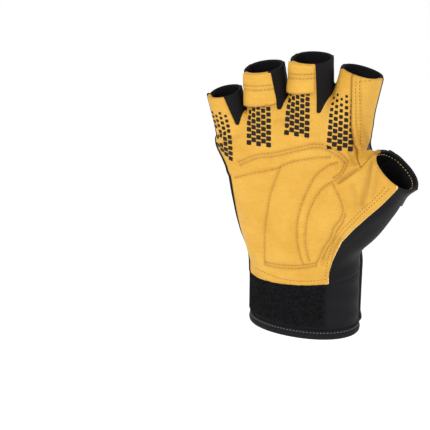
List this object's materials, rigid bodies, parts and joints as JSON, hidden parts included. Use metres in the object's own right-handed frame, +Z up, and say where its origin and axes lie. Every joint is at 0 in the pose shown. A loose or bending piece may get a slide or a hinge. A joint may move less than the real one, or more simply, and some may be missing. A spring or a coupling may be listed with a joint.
{
  "type": "fingerless fishing glove",
  "caption": "Fingerless right-hand glove: leather palm, stretch fabric back, open finger tubes and a wrist cuff closed by a hook-and-loop strap.",
  "frame": {"origin": "centre of the wrist opening, at the lower edge of the cuff", "axes": "+Z up from the wrist to the fingers, +X towards the thumb, +Y out of the back of the hand, palm facing -Y"},
  "size_m": [0.1227, 0.0558, 0.1634],
  "materials": {
    "leather": "matt, fine grain",
    "grey_fabric": "smooth stretch knit",
    "black_fabric": "matt stretch knit",
    "loop_pile": "fuzzy loop pile",
    "strap_skin": "matt moulded skin"
  },
  "bodies": {
    "root": {"palm_leather": "leather", "index_side_leather": "leather", "ring_pull_tab": "leather", "middle_pull_tab": "leather", "back_panel": "grey_fabric", "thumb_side_panel": "black_fabric", "thumb_back_panel": "black_fabric", "pinky_ring_fourchette": "black_fabric", "ring_middle_fourchette": "black_fabric", "middle_index_fourchette": "black_fabric", "cuff_band": "black_fabric", "cuff_hem": "black_fabric", "loop_field": "loop_pile", "slit_binding": "black_fabric", "closure_strap": "strap_skin"}
  },
  "joints": []
}
